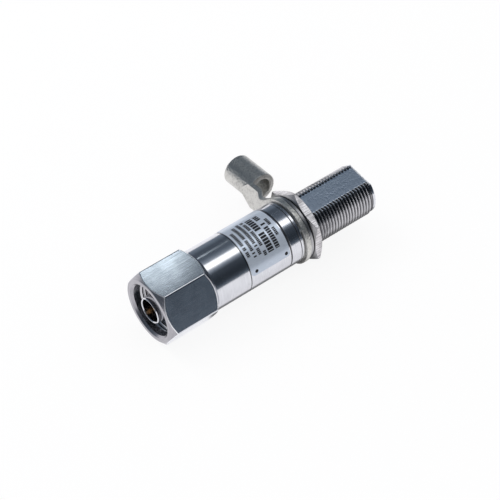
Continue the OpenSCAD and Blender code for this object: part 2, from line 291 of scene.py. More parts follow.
@dataclass(frozen=True)
class PlatedMetal:
    """A plated metal with the marks of its making under the plate.

    Attributes:
        name: The material's name.
        colour: Colour of the plate.
        shade: Colour in stains and in the hollows of the grain.
        roughness: Mean roughness.
        haze: How far the roughness wanders from the mean.
        grain: The way that the marks run.
        per_mm: Marks in a millimetre.
        depth: Depth of the marks.
        valley_shade: (radius, radius) between which painted shade in a thread's valley gives way to the
            plate's colour.
        seams: Stations of the seams, along which a band of painted shade darkens the plate.
    """

    name: str
    colour: Colour
    shade: Colour
    roughness: float
    haze: float
    grain: Grain
    per_mm: float
    depth: float
    valley_shade: tuple[float, float] | None = None
    seams: Sequence[float] = ()

    # Squeeze of the marks' pattern along a ring and along a drawn line, which makes them long
    RING_SQUEEZE = 0.15
    LINE_SQUEEZE = 0.04
    OCTAVES = 4.0
    # Dents rise between these distances from a cell's middle, over broader swells
    DENT = (0.05, 0.75)
    SWELLS = 0.7
    # Stains: clouds in a millimetre, their octaves and the levels between which they clear
    CLOUDS = 0.22
    CLOUD_OCTAVES = 3.0
    STAIN = (0.3, 0.62)
    SEAM_WIDTH = 0.3

    def marks(self, place: Place) -> Signal:
        """The height of the marks.

        Args:
            place: The shaded point.

        Returns:
            A height from 0 to 1.
        """
        graph = place.graph
        if self.grain is Grain.TUMBLED:
            dents = graph.cells(place.point, self.per_mm).eased(*self.DENT)
            return dents.mixed(graph.noise(place.point, self.per_mm * self.SWELLS, self.OCTAVES))
        if self.grain is Grain.TURNED:
            across = graph.vector(place.x, place.angle() * self.RING_SQUEEZE, place.radius())
        else:
            across = graph.vector(place.x * self.LINE_SQUEEZE, place.y, place.z)
        return graph.noise(across, self.per_mm, self.OCTAVES)

    def material(self) -> Material:
        """Builds the material.

        Returns:
            The material.
        """
        graph, material = Graph.of_material(self.name)
        place = Place(graph)
        marks = self.marks(place)
        worn = marks.mixed(graph.noise(place.point, self.CLOUDS, self.CLOUD_OCTAVES))
        plate = graph.blend(worn.eased(*self.STAIN), self.shade, self.colour)
        # Painted shade: the plate darkens towards the bottom of a thread's valleys
        if self.valley_shade:
            plate = graph.blend(place.radius().eased(*self.valley_shade), PAINTED_SHADE, plate)
        # Painted shade: a dark band along each seam
        for seam in self.seams:
            plate = graph.blend(abs(place.x - seam) < self.SEAM_WIDTH / 2, plate, PAINTED_SHADE)
        graph.surface(
            {
                "Base Color": plate,
                "Metallic": 1.0,
                "Roughness": self.roughness + (worn - 0.5) * (-2.0 * self.haze),
                "Normal": graph.bump(marks, self.depth),
            }
        )
        return material


@dataclass(frozen=True)
class Moulding:
    """A matte moulded or pressed piece, such as a seal or an insulator.

    Attributes:
        name: The material's name.
        colour: Its colour.
        shade: Its darker flecks.
        roughness: Mean roughness.
        depth: Depth of its texture.
    """

    name: str
    colour: Colour
    shade: Colour
    roughness: float
    depth: float

    # Flecks in a millimetre, their octaves, the levels between which they fade and what they do to roughness
    FLECKS = 3.0
    OCTAVES = 3.0
    FADE = (0.35, 0.65)
    HAZE = 0.2

    def material(self) -> Material:
        """Builds the material.

        Returns:
            The material.
        """
        graph, material = Graph.of_material(self.name)
        texture = graph.noise(Place(graph).point, self.FLECKS, self.OCTAVES)
        graph.surface(
            {
                "Base Color": graph.blend(texture.eased(*self.FADE), self.shade, self.colour),
                "Roughness": self.roughness + (texture - 0.5) * self.HAZE,
                "Normal": graph.bump(texture, self.depth),
            }
        )
        return material


@dataclass(frozen=True)
class PrintRow:
    """A row of plain bars on the foil.

    Attributes:
        station: Middle of the row, from the foil's front edge.
        height: Height of the bars along the connector.
        start: Where the row starts around the connector.
        end: Where it ends.
        bar: Spacing of the bars, in degrees.
        filled: Share of the spaces that hold a bar.
    """

    station: float
    height: float
    start: float
    end: float
    bar: float
    filled: float

    # Half a bar's width as a share of the spacing, and the step between the rows' random seeds
    HALF_BAR = 0.41
    SEED_STEP = 37.0

    def mask(self, along: Signal, around: Signal, number: int) -> Signal:
        """Where the row has ink.

        Args:
            along: Distance from the foil's front edge.
            around: Angle around the connector, in degrees.
            number: The row's own number.

        Returns:
            1 on ink and 0 elsewhere.
        """
        middle = (self.start + self.end) / 2
        inside = abs(along - self.station) < self.height / 2
        inside = inside * (abs(around - middle) < (self.end - self.start) / 2)
        turn = around / self.bar
        shape = abs(turn.fraction() - 0.5) < self.HALF_BAR
        kept = along.graph.chance(turn.floor() + number * self.SEED_STEP) < self.filled
        return inside * shape * kept


@dataclass(frozen=True)
class PrintedFoil:
    """A metallised foil with rows of plain bars and two register dots.

    Attributes:
        name: The material's name.
        front: Station of the foil's front edge.
        radius: Radius of the foil.
        rows: The rows of bars.
        dots: (station from the front edge, angle) of the register dots.
        dot_radius: Radius of a dot.
        foil: Colour of the foil.
        foil_shade: Its colour in the brushed lines.
        ink: Colour of the ink.
        metallic: How metallic the foil is; the ink isn't.
        roughness: The foil's roughness between its lines.
        line_roughness: What the lines add to it.
        ink_roughness: What the ink adds to it.
        specular: Level of its clear gloss.
        depth: Depth of its ripples.
    """

    name: str
    front: float
    radius: float
    rows: Sequence[PrintRow]
    dots: Sequence[tuple[float, float]]
    dot_radius: float = 0.55
    foil: Colour = rgb(0.63, 0.70, 0.80)
    foil_shade: Colour = rgb(0.56, 0.63, 0.74)
    ink: Colour = rgb(0.012, 0.013, 0.018)
    metallic: float = 0.36
    roughness: float = 0.26
    line_roughness: float = 0.06
    ink_roughness: float = 0.2
    specular: float = 0.25
    depth: float = 0.012

    # Brushed lines: squeeze along the connector, lines in a millimetre, octaves and levels of the shade
    LINE_SQUEEZE = 0.15
    LINES = 6.0
    LINE_OCTAVES = 3.0
    LINE_LEVELS = (0.3, 0.7)
    # Ripples in a millimetre, their octaves and the lines' share of the height
    RIPPLES = 0.5
    RIPPLE_OCTAVES = 2.0
    LINE_SHARE = 0.2

    def ink_mask(self, place: Place) -> Signal:
        """Where the foil has ink.

        Args:
            place: The shaded point.

        Returns:
            1 on ink and 0 elsewhere.
        """
        along = place.x - self.front
        angle = place.angle()
        around = angle * math.degrees(1)
        masks = [row.mask(along, around, number) for number, row in enumerate(self.rows, start=1)]
        for station, turn in self.dots:
            ahead = along - station
            aside = (angle - math.radians(turn)) * self.radius
            masks.append(ahead * ahead + aside * aside < self.dot_radius**2)
        return reduce(Signal.either, masks)

    def material(self) -> Material:
        """Builds the material.

        Returns:
            The material.
        """
        graph, material = Graph.of_material(self.name)
        place = Place(graph)
        ink = self.ink_mask(place)
        brushed = graph.vector(place.x * self.LINE_SQUEEZE, place.y, place.z)
        lines = graph.noise(brushed, self.LINES, self.LINE_OCTAVES)
        ripple = graph.noise(place.point, self.RIPPLES, self.RIPPLE_OCTAVES)
        foil = graph.blend(lines.eased(*self.LINE_LEVELS), self.foil_shade, self.foil)
        graph.surface(
            {
                "Base Color": graph.blend(ink, foil, self.ink),
                "Metallic": self.metallic - ink * self.metallic,
                "Roughness": self.roughness + lines * self.line_roughness + ink * self.ink_roughness,
                "Specular IOR Level": self.specular,
                "Normal": graph.bump(ripple.mixed(lines, self.LINE_SHARE), self.depth),
            }
        )
        return material


class Region(Enum):
    """The parts of a turned surface that take different finishes."""

    TURNED = 0
    MILLED = 1
    THREAD = 2
    # Faced ends and mouths, which take a darker copy of the plate as painted shade
    FACED = 3
    # The collar's seam bevel and groove, which take painted shade
    SEAM = 4
    # Edges painted bright as a highlight
    EDGE = 5


# Radii that round off a corner: in a groove, inside a piece and on its outside
SHARP = 0.03
CRISP = 0.05
BROKEN = 0.1


@dataclass(frozen=True)
class Corner:
    """A corner of an outline.

    Attributes:
        station: Place along the connector.
        radius: Distance from its axis.
        ease: Radius that rounds the corner off.
        region: The finish of the run that follows.
    """

    station: float
    radius: float
    ease: float = 0.08
    region: Region = Region.TURNED

    def ends(self) -> tuple[np.ndarray, np.ndarray]:
        """The points that its neighbours meet."""
        point = np.array([self.station, self.radius])
        return point, point


@dataclass(frozen=True)
class ThreadRun:
    """A helical thread between two stations.

    Attributes:
        start: First station.
        end: Last station.
        valley: Radius at the bottom of the thread.
        crest: Radius at its top, which lies further in on an inside thread.
        anchor: Station of a crest at the angle 0.
        backward: True where the outline runs from the last station to the first.
        run_out: Length over which the thread fades at each end.
    """

    start: float
    end: float
    valley: float
    crest: float
    anchor: float
    backward: bool = False
    run_out: float = 0.8

    # One tooth as (share of the pitch, share of the height): a narrow crest, two flanks and a wider valley
    TOOTH = (
        (0.0, 0.93), (0.03, 1.0), (0.1, 1.0), (0.13, 0.93),
        (0.4, 0.06), (0.46, 0.0), (0.67, 0.0), (0.73, 0.06),
    )

    def ends(self) -> tuple[np.ndarray, np.ndarray]:
        """The points that its neighbours meet."""
        points = np.array([self.start, self.valley]), np.array([self.end, self.valley])
        return points[::-1] if self.backward else points

    def points(self, theta: float) -> np.ndarray:
        """The thread's section at an angle.

        Args:
            theta: The angle, in radians.

        Returns:
            Rows of (station, radius), as many at every angle.
        """
        first = math.floor((self.start - self.anchor) / PITCH) - 1
        last = math.ceil((self.end - self.anchor) / PITCH)
        share, height = np.array(self.TOOTH).T
        turns = np.arange(first, last + 1)[:, None] + share[None, :] + theta / math.tau
        station = np.clip(self.anchor + PITCH * turns, self.start, self.end).ravel()
        inset = np.minimum(station - self.start, self.end - station) / self.run_out
        fade = np.clip(inset, 0, 1)
        fade = fade * fade * (3 - 2 * fade)
        radius = self.valley + (self.crest - self.valley) * fade * np.tile(height, len(turns))
        rows = np.stack([station, radius], axis=1)
        return rows[::-1] if self.backward else rows


class Outline:
    """A closed section of corners and threads."""

    ARC_STEPS = 3
    # A support point lies this far from an arc, or this share of the shorter run beside it
    SUPPORT = 0.05
    SUPPORT_SHARE = 0.1
    # Share of the shorter run that an arc may take
    ROOM_SHARE = 0.4
    # Half angles, in radians, that count as the sharpest corner and as none
    SHARPEST = 0.05
    STRAIGHT = 1.5
    TINY = 1e-9

    def __init__(self, items: Sequence[Corner | ThreadRun]) -> None:
        """Takes the section's items in order."""
        self.items = items

    def points(self, theta: float) -> tuple[np.ndarray, list[Region]]:
        """The section's points at an angle.

        Args:
            theta: The angle, in radians.

        Returns:
            Rows of (station, radius), and the region of the run that follows each.
        """
        rows: list[np.ndarray] = []
        regions: list[Region] = []
        for index, item in enumerate(self.items):
            if isinstance(item, ThreadRun):
                part = item.points(theta)
                region = Region.THREAD
            else:
                before = self.items[index - 1].ends()[1]
                after = self.items[(index + 1) % len(self.items)].ends()[0]
                part = self.rounded(item, before, after)
                region = item.region
            rows.append(part)
            regions += [region] * len(part)
        return np.concatenate(rows), regions

    def rounded(self, corner: Corner, before: np.ndarray, after: np.ndarray) -> np.ndarray:
        """A corner as an arc with a support point on each side.

        Args:
            corner: The corner.
            before: The point before it.
            after: The point after it.

        Returns:
            The arc's points, as many for every corner.
        """
        point = corner.ends()[0]
        back, ahead = before - point, after - point
        back_length, ahead_length = np.linalg.norm(back), np.linalg.norm(ahead)
        shorter = min(back_length, ahead_length)
        back, ahead = back / back_length, ahead / ahead_length
        half = math.acos(float(np.clip(back @ ahead, -1, 1))) / 2
        touch = min(corner.ease / math.tan(max(half, self.SHARPEST)), self.ROOM_SHARE * shorter)
        support = min(self.SUPPORT, self.SUPPORT_SHARE * shorter)
        first, last = point + back * touch, point + ahead * touch
        centre = point
        if half < self.STRAIGHT:
            centre = point + (back + ahead) * touch / (1 + float(back @ ahead))
        radius = np.linalg.norm(first - centre)
        arc = []
        for share in np.arange(self.ARC_STEPS + 1) / self.ARC_STEPS:
            chord = first * (1 - share) + last * share
            spoke = chord - centre
            length = np.linalg.norm(spoke)
            arc.append(centre + spoke * radius / length if length > self.TINY else chord)
        return np.array([first + back * support, *arc, last + ahead * support])


@dataclass(frozen=True)
class HexSection:
    """A hexagon with its corners rounded off.

    Attributes:
        across: Width across the flats.
        turn: Direction of one corner.
        ease: Radius of the corners.
    """

    across: float
    turn: float
    ease: float

    # Angles, in radians: from corner to corner, and from a corner to the middle of a flat
    SIXTH = math.tau / 6
    TWELFTH = math.tau / 12
    # Points of the mesh on a corner's round and on a flat, which starts this many half rounds from the corner
    ROUND_POINTS = 7
    FLAT_POINTS = 22
    FLAT_START = 1.35

    @property
    def corner(self) -> float:
        """Distance from the axis to a sharp corner."""
        return self.across / math.sqrt(3)

    def reach(self) -> float:
        """Half the angle that a corner's round takes, in radians."""
        return math.atan(0.5 * self.ease / (self.corner - 0.5 * self.ease * math.tan(self.TWELFTH)))

    def radius(self, theta: float) -> float:
        """The hexagon's radius at an angle.

        Args:
            theta: The angle, in radians.

        Returns:
            The radius.
        """
        from_corner = (theta - math.radians(self.turn) + self.TWELFTH) % self.SIXTH - self.TWELFTH
        aside = abs(from_corner)
        if aside >= self.reach():
            return self.across / 2 / math.cos(self.TWELFTH - aside)
        centre = self.corner - self.ease / math.cos(self.TWELFTH)
        return centre * math.cos(aside) + math.sqrt(self.ease**2 - (centre * math.sin(aside)) ** 2)

    def angles(self) -> np.ndarray:
        """Angles for a mesh of the hexagon, dense at the corners.

        Returns:
            The angles of a whole turn, in radians, the last one a turn past the first.
        """
        reach = self.reach()
        around = np.linspace(-reach, reach, self.ROUND_POINTS)
        support = self.FLAT_START * reach
        flat = np.linspace(support, self.SIXTH - support, self.FLAT_POINTS)
        one = np.concatenate([around, flat])
        whole = np.concatenate([one + self.SIXTH * side for side in range(6)])
        return np.append(whole, whole[0] + math.tau) + math.radians(self.turn)


class Survey:
    """Measures a node of the frame, in millimetres about the connector's axis."""

    # Points closer than this share a station, a radius or a height
    NEAR = 0.01

    def __init__(self, node: Object) -> None:
        """Reads the node's points.

        Args:
            node: The node, whose points are given in the part's own frame.
        """
        self.node = node
        points = np.zeros(len(node.data.vertices) * 3)
        node.data.vertices.foreach_get("co", points)
        self.points = points.reshape(-1, 3) / MM
        self.stations = self.points[:, 0]
        self.radii = np.hypot(self.points[:, 1], self.points[:, 2])
        self.start, self.end = float(self.stations.min()), float(self.stations.max())
        self.inner, self.outer = float(self.radii.min()), float(self.radii.max())

    def radii_at(self, station: float) -> tuple[float, float]:
        """Smallest and largest radius of the points at a station."""
        found = self.radii[np.abs(self.stations - station) < self.NEAR]
        return float(found.min()), float(found.max())

    def stations_at(self, radius: float) -> tuple[float, float]:
        """First and last station of the points at a radius."""
        found = self.stations[np.abs(self.radii - radius) < self.NEAR]
        return float(found.min()), float(found.max())

    def corner_direction(self) -> float:
        """Direction of one corner of a hexagon.

        Returns:
            The direction, from the points that lie furthest out.
        """
        far = self.points[self.radii > self.outer - self.NEAR]
        sixfold = np.exp(6j * np.arctan2(far[:, 2], far[:, 1])).mean()
        return float(np.degrees(np.angle(sixfold))) / 6

    def heights(self, turn: float) -> np.ndarray:
        """How far each point lies out in a direction, in radians."""
        return self.points[:, 1] * math.cos(turn) + self.points[:, 2] * math.sin(turn)

    def largest_flat(self) -> tuple[float, float]:
        """The widest plane along the axis.

        Returns:
            Its direction in radians and its distance from the axis.
        """
        faces = [face for face in self.node.data.polygons if abs(face.normal.x) < self.NEAR]
        face = max(faces, key=lambda candidate: candidate.area)
        distance = face.normal.dot(face.center) / MM
        return math.atan2(face.normal.z, face.normal.y), distance

    def lowest(self) -> Vector:
        """The lowest point, and the front one of several.

        Returns:
            The point, in metres.
        """
        low = self.points[:, 2].min()
        found = self.points[self.points[:, 2] < low + self.NEAR]
        return Vector(found[int(found[:, 0].argmin())] * MM)


def in_scene(name: str, data: ID) -> Object:
    """A new object of the scene.

    Args:
        name: The object's name.
        data: Its mesh, lamp or camera.

    Returns:
        The object.
    """
    made = bpy.data.objects.new(name, data)
    bpy.context.scene.collection.objects.link(made)
    return made


def new_mesh(name: str, points: Any, faces: Any, materials: Sequence[Material]) -> Mesh:
    """A mesh with its materials.

    Args:
        name: The mesh's name.
        points: Its points, in metres.
        faces: The points of each face, by number.
        materials: Its materials.

    Returns:
        The mesh.
    """
    mesh = bpy.data.meshes.new(name)
    mesh.from_pydata(points, [], faces)
    for material in materials:
        mesh.materials.append(material)
    return mesh


def finished(name: str, mesh: Mesh, merge: float) -> Object:
    """Welds a mesh, turns its faces outward, smooths it and puts it in the scene.

    Args:
        name: The piece's name.
        mesh: Its mesh.
        merge: Points closer than this, in the mesh's own unit, become one.

    Returns:
        The piece.
    """
    work = bmesh.new()
    work.from_mesh(mesh)
    bmesh.ops.remove_doubles(work, verts=work.verts, dist=merge)
    bmesh.ops.dissolve_degenerate(work, edges=work.edges, dist=merge)
    bmesh.ops.recalc_face_normals(work, faces=work.faces)
    work.to_mesh(mesh)
    work.free()
    mesh.polygons.foreach_set("use_smooth", [True] * len(mesh.polygons))
    return in_scene(name, mesh)


OutlineAt = Callable[[float], Outline]
Cut = Callable[[float, np.ndarray], np.ndarray]
Finishes = Mapping[Region, Material]


class Turning:
    """A closed surface around the connector's axis, from a section that may change with the angle."""

    MERGE = 1e-4

    def __init__(self, outline_at: OutlineAt, angles: np.ndarray, cut: Cut | None = None) -> None:
        """Takes what the surface is made from.

        Args:
            outline_at: The section at each angle.
            angles: The angles of a whole turn, in radians.
            cut: What is cut from each section, if anything.
        """
        self.outline_at = outline_at
        self.angles = angles
        self.cut = cut

    def build(self, name: str, finishes: Finishes) -> Object:
        """Makes the mesh.

        Args:
            name: The piece's name.
            finishes: The material of each region; the first one stands in for those left out.

        Returns:
            The piece.
        """
        columns = []
        regions: list[Region] = []
        for theta in self.angles:
            rows, regions = self.outline_at(theta).points(theta)
            if self.cut:
                rows = self.cut(theta, rows)
            station, radius = rows.T
            columns.append(np.stack([station, radius * math.cos(theta), radius * math.sin(theta)], axis=1))
        points = np.concatenate(columns) * MM
        count = len(regions)
        column, row = np.meshgrid(np.arange(len(columns) - 1), np.arange(count), indexing="ij")
        following = (row + 1) % count
        near, far = column * count, (column + 1) * count
        faces = np.stack([near + row, near + following, far + following, far + row], axis=-1).reshape(-1, 4)
        used = sorted(finishes, key=lambda region: region.value)
        slots = np.array([used.index(region) if region in used else 0 for region in regions])
        mesh = new_mesh(name, points.tolist(), faces.tolist(), [finishes[region] for region in used])
        mesh.polygons.foreach_set("material_index", slots[row.ravel()])
        return finished(name, mesh, self.MERGE * MM)


@dataclass(frozen=True)
class RoundedSheet:
    """Rounds over the edges of a node, as formed and plated sheet has them.

    Attributes:
        voxel: Size of the mesh's cells.
        passes: Rounds of smoothing.
        factor: How far a round moves each point towards its neighbours.
        merge: Points of the node that are closer than this become one.
    """

    voxel: float = 0.17
    passes: int = 8
    factor: float = 0.5
    merge: float = 0.001

    # Points of the rounded mesh that are closer than this become one
    LAST_MERGE = 1e-5

    def copy(self, node: Object, name: str) -> Object:
        """A rounded copy of a node.

        Args:
            node: The node.
            name: The piece's name.

        Returns:
            The piece.
        """
        mesh = node.data.copy()
        mesh.name = name
        mesh.materials.clear()
        mesh.transform(node.matrix_world)
        for vertex in mesh.vertices:
            vertex.co /= MM
        rough = finished(name + "_rough", mesh, self.merge)
        remesh = rough.modifiers.new("cells", "REMESH")
        remesh.mode = "VOXEL"
        remesh.voxel_size = self.voxel
        smooth = rough.modifiers.new("smooth", "SMOOTH")
        smooth.factor = self.factor
        smooth.iterations = self.passes
        graph = bpy.context.evaluated_depsgraph_get()
        soft = bpy.data.meshes.new_from_object(rough.evaluated_get(graph))
        soft.name = name
        bpy.data.objects.remove(rough)
        for vertex in soft.vertices:
            vertex.co *= MM
        return finished(name, soft, self.LAST_MERGE * MM)


Nodes = Mapping[str, Object]
Shelf = Mapping[str, Material]


def stocked_shelf(thread_radii: tuple[float, float], body_seam: float) -> Shelf:
    """Mixes the finishes that the pieces share, each of them once.

    Args:
        thread_radii: Radii of the valley and the crest of the jack's thread, between which the painted shade
            in its valleys fades out.
        body_seam: Station at which the two halves of the body meet, where a band of painted shade runs.

    Returns:
        The materials by name.
    """
    turned, drawn, tumbled = Grain
    rows = (
        ("turned_nickel", rgb(0.64, 0.65, 0.68), rgb(0.56, 0.57, 0.60), 0.15, 0.03, turned, 2.4, 0.0012),
        ("drawn_nickel", rgb(0.66, 0.68, 0.71), rgb(0.49, 0.51, 0.54), 0.125, 0.03, drawn, 3.0, 0.0018),
        # Darker copy of the turned plate for the nut's end face and mouth: painted shade for the shadowed
        # floor that they reflect
        ("shaded_faced_nickel", rgb(0.40, 0.395, 0.42), rgb(0.32, 0.315, 0.34), 0.28, 0.05, turned, 3.0, 0.003),
        # Milled flat with mottled dents; its blue tint is a painted reflection of the bluish surroundings
        ("milled_nickel_reflection_tint", rgb(0.74, 0.82, 0.92), rgb(0.58, 0.66, 0.77), 0.30, 0.06, tumbled, 1.7, 0.06),
        ("cut_bore_nickel", rgb(0.56, 0.56, 0.58), rgb(0.46, 0.46, 0.48), 0.22, 0.05, turned, 5.0, 0.002),
        ("cut_thread_nickel", rgb(0.64, 0.64, 0.66), rgb(0.54, 0.54, 0.56), 0.22, 0.04, turned, 5.0, 0.002),
        ("tumbled_tin", rgb(0.62, 0.615, 0.587), rgb(0.47, 0.465, 0.443), 0.43, 0.1, tumbled, 1.4, 0.10),
        # Near white plate: a painted highlight on the coupling nut's chamfer edges and on the flat's end
        ("highlight_edge_nickel", rgb(0.95, 0.96, 0.98), rgb(0.85, 0.86, 0.88), 0.5, 0.05, drawn, 3.0, 0.001),
        # Dark plate, painted as shade in the collar's seam bevel and groove
        ("seam_painted_shade", rgb(0.17, 0.17, 0.18), PAINTED_SHADE, 0.45, 0.05, turned, 3.0, 0.004),
        # Darker copy of the turned plate for the thin nut's faces and chamfers: turned rings, with painted
        # shade
        ("shaded_spun_nickel", rgb(0.42, 0.42, 0.43), rgb(0.26, 0.26, 0.27), 0.3, 0.05, turned, 3.0, 0.006),
        ("lined_nickel", rgb(0.68, 0.665, 0.68), rgb(0.18, 0.175, 0.18), 0.26, 0.05, drawn, 2.6, 0.006),
        ("gold_plate", rgb(0.80, 0.55, 0.30), rgb(0.66, 0.43, 0.22), 0.2, 0.04, turned, 5.0, 0.001),
        ("bronze_sheet", rgb(0.62, 0.40, 0.22), rgb(0.45, 0.28, 0.15), 0.34, 0.06, drawn, 4.0, 0.003),
        ("spring_steel", rgb(0.42, 0.42, 0.43), rgb(0.28, 0.28, 0.29), 0.36, 0.06, tumbled, 3.0, 0.01),
    )
    plates = {row[0]: PlatedMetal(*row) for row in rows}
    # The body's plate, with a band of painted shade along the seam between its halves
    plates["seamed_nickel"] = replace(plates["turned_nickel"], name="seamed_nickel", seams=(body_seam,))
    # The jack's thread, with painted shade in its valleys
    plates["cut_thread_nickel"] = replace(plates["cut_thread_nickel"], valley_shade=thread_radii)
    mouldings = (
        Moulding("white_fluoropolymer", rgb(0.82, 0.82, 0.79), rgb(0.72, 0.72, 0.69), 0.5, 0.004),
        Moulding("black_rubber", rgb(0.03, 0.03, 0.032), rgb(0.018, 0.018, 0.02), 0.62, 0.01),
    )
    return {finish.name: finish.material() for finish in (*plates.values(), *mouldings)}


@dataclass
class SubAssembly:
    """Pieces that are built and dressed together.

    Attributes:
        nodes: The frame's nodes.
        shelf: The shared finishes.
    """

    nodes: Nodes
    shelf: Shelf

    def dress(self, **looks: str | Material) -> None:
        """Gives nodes their finishes in place of the plain ones.

        Args:
            looks: The finish of each node, or its name on the shelf.
        """
        for name, finish in looks.items():
            material = self.shelf[finish] if isinstance(finish, str) else finish
            materials = self.nodes[name].data.materials
            materials.clear()
            materials.append(material)
            LOG.info("%s: dressed in %s", name, material.name)

    def finishes(self, names: Mapping[Region, str]) -> Finishes:
        """The finishes of a turned piece's regions, from their names on the shelf."""
        return {region: self.shelf[name] for region, name in names.items()}

    def seat(self, piece: Object, body: str, slot: str, node: str) -> None:
        """Puts a piece on a body in place of a node.

        Args:
            piece: The piece.
            body: The body that it rides on.
            slot: The record's material slot; not used.
            node: The node that it stands for.
        """
        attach(piece, body)
        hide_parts(node)
        LOG.info("%s: %d faces on %s, for %s", piece.name, len(piece.data.polygons), body, node)


@dataclass
class PlugEnd(SubAssembly):
    """The coupling nut and what shows in its mouth.

    Attributes:
        thread_height: Height of the coupling thread's teeth.
        thread_from: Depth at which the thread starts behind the plain mouth.
        relief: Plain length left between the thread and the lip.
        ring_play: Clearance around the retaining ring.
        edge: Half the width of the bright edges along the chamfers, which are a painted highlight.
        face_ease: Round at the edge of the end faces.
        corner_round: Round of the hexagon's corners.
    """

    thread_height: float = 0.57
    thread_from: float = 2.6
    relief: float = 1.2
    ring_play: float = 0.05
    edge: float = 0.12
    face_ease: float = 0.12
    corner_round: float = 0.6

    def outline_at(self, survey: Survey, section: HexSection) -> OutlineAt:
        """The coupling nut's section at each angle.

        Args:
            survey: The nut's own sizes.
            section: Its hexagon.

        Returns:
            A function from an angle, in radians, to the section.
        """
        ring = Survey(self.nodes["retaining_ring"])
        front_in, face = survey.radii_at(survey.start)
        lip = survey.stations_at(survey.inner)[0]
        mouth = survey.radii_at(lip)[1]
        lead = survey.stations_at(mouth)[0] - survey.start
        groove = ring.outer + self.ring_play
        ring_from, ring_to = ring.start - self.ring_play, ring.end + self.ring_play
        slope = (survey.outer - face) / (survey.stations_at(survey.outer)[0] - survey.start)
        length = survey.end - survey.start
        LOG.info("coupling nut: length %.2f, mouth %.3f, lip at %.2f", length, mouth, lip)
        thread_to = lip - self.relief
        thread = ThreadRun(self.thread_from, thread_to, mouth, mouth - self.thread_height, 0.0, backward=True)

        def at(theta: float) -> Outline:
            """The section at an angle.

            Args:
                theta: The angle, in radians.

            Returns:
                The section.
            """
            wide = section.radius(theta)
            # The chamfer's edge strip, which is a painted highlight, starts at this radius
            cut = (wide - face) / slope
            worn = wide - self.edge * slope
            return Outline(
                [
                    # The end face and the mouth's lead take the darker faced finish, which is painted shade
                    Corner(0.0, front_in, BROKEN, Region.FACED),
                    Corner(0.0, face, self.face_ease, Region.FACED),
                    Corner(cut - self.edge, worn, BROKEN, Region.EDGE),
                    Corner(cut + self.edge, wide, BROKEN, Region.MILLED),
                    Corner(length - cut - self.edge, wide, BROKEN, Region.EDGE),
                    Corner(length - cut + self.edge, worn, BROKEN),
                    Corner(length, face, self.face_ease),
                    Corner(length, survey.inner, BROKEN),
                    Corner(ring_to, survey.inner, SHARP),
                    Corner(ring_to, groove, SHARP),
                    Corner(ring_from, groove, SHARP),
                    Corner(ring_from, survey.inner, SHARP),
                    Corner(lip, survey.inner, CRISP),
                    Corner(lip, mouth, CRISP),
                    thread,
                    Corner(lead, mouth, CRISP, Region.FACED),
                ]
            )

        return at

    def build(self) -> None:
        """Builds the coupling nut and dresses the pieces in its mouth."""
        survey = Survey(self.nodes["coupling_nut"])
        low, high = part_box("coupling_nut")
        section = HexSection((high.z - low.z) / MM, survey.corner_direction(), self.corner_round)
        finishes = {
            Region.TURNED: "turned_nickel",
            Region.MILLED: "drawn_nickel",
            Region.THREAD: "cut_bore_nickel",
            Region.FACED: "shaded_faced_nickel",
            Region.EDGE: "highlight_edge_nickel",
        }
        turning = Turning(self.outline_at(survey, section), section.angles())
        nut = turning.build("coupling_nut_threaded", self.finishes(finishes))
        self.seat(nut, "coupling", "nickel", "coupling_nut")
        self.dress(
            retaining_ring="spring_steel",
            coupling_gasket="black_rubber",
            outer_contact="turned_nickel",
            male_pin="gold_plate",
            front_insulator="white_fluoropolymer",
        )


@dataclass
class Body(SubAssembly):
    """The turned body with its foil, its seals and the surge path inside.

    Attributes:
        rows: The foil's rows of bars.
        dots: The foil's register dots.
    """

    rows: Sequence[PrintRow] = (
        PrintRow(1.15, 1.0, 79, 133, 3.0, 0.86),
        PrintRow(2.95, 1.0, 68, 138, 3.0, 0.84),
        PrintRow(4.65, 1.0, 65, 143, 3.0, 0.84),
        PrintRow(6.2, 1.0, 66, 145, 3.0, 0.86),
        PrintRow(8.2, 2.0, 69, 143, 5.6, 0.94),
        PrintRow(10.55, 1.5, 69, 143, 4.4, 0.9),
        PrintRow(12.25, 1.0, 87, 124, 3.0, 0.9),
    )
    dots: Sequence[tuple[float, float]] = ((1.85, 161), (12.5, 161))

    def build(self) -> None:
        """Dresses the body's nodes."""
        label = Survey(self.nodes["label"])
        self.dress(
            male_shell="seamed_nickel",
            housing="seamed_nickel",
            label=PrintedFoil("printed_foil", label.start, label.outer, self.rows, self.dots).material(),
            front_seal="black_rubber",
            rear_seal="black_rubber",
            spiral_inductor="bronze_sheet",
            spacer_sleeve="turned_nickel",
            dielectric_disc="white_fluoropolymer",
        )


